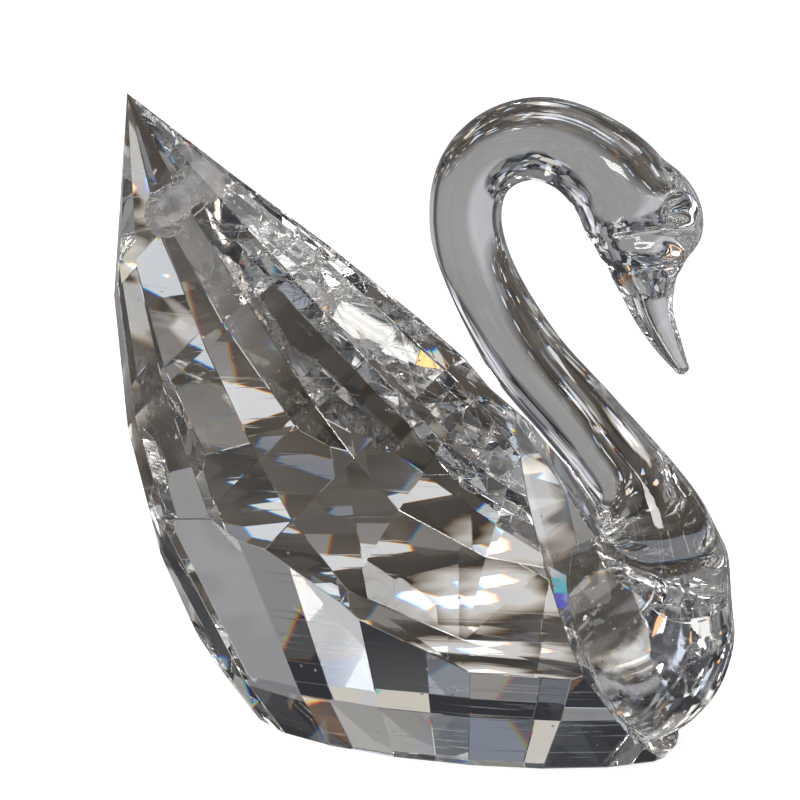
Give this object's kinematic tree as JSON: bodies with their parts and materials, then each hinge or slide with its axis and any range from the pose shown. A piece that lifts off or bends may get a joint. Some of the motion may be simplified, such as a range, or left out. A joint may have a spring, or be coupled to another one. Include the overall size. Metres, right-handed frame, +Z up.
{
  "type": "crystal glass swan figurine",
  "caption": "Clear cut-crystal swan: a facetted solid body with a flat foot, and a cast glass neck, head and breast bonded to its front with clear adhesive",
  "frame": {"origin": "under the middle of the swan's box, on the plane that its flat foot stands on", "axes": "+X the way the swan looks, +Y its left side, +Z up"},
  "size_m": [0.0612, 0.0308, 0.0621],
  "materials": {
    "cut_crystal": "ground and polished flat facets, water clear",
    "cast_crystal": "fire polished smooth casting, water clear",
    "clear_adhesive": "clear light-cured adhesive"
  },
  "bodies": {
    "root": {"faceted_body": "cut_crystal", "neck_and_head": "cast_crystal", "adhesive_film": "clear_adhesive"}
  },
  "joints": []
}
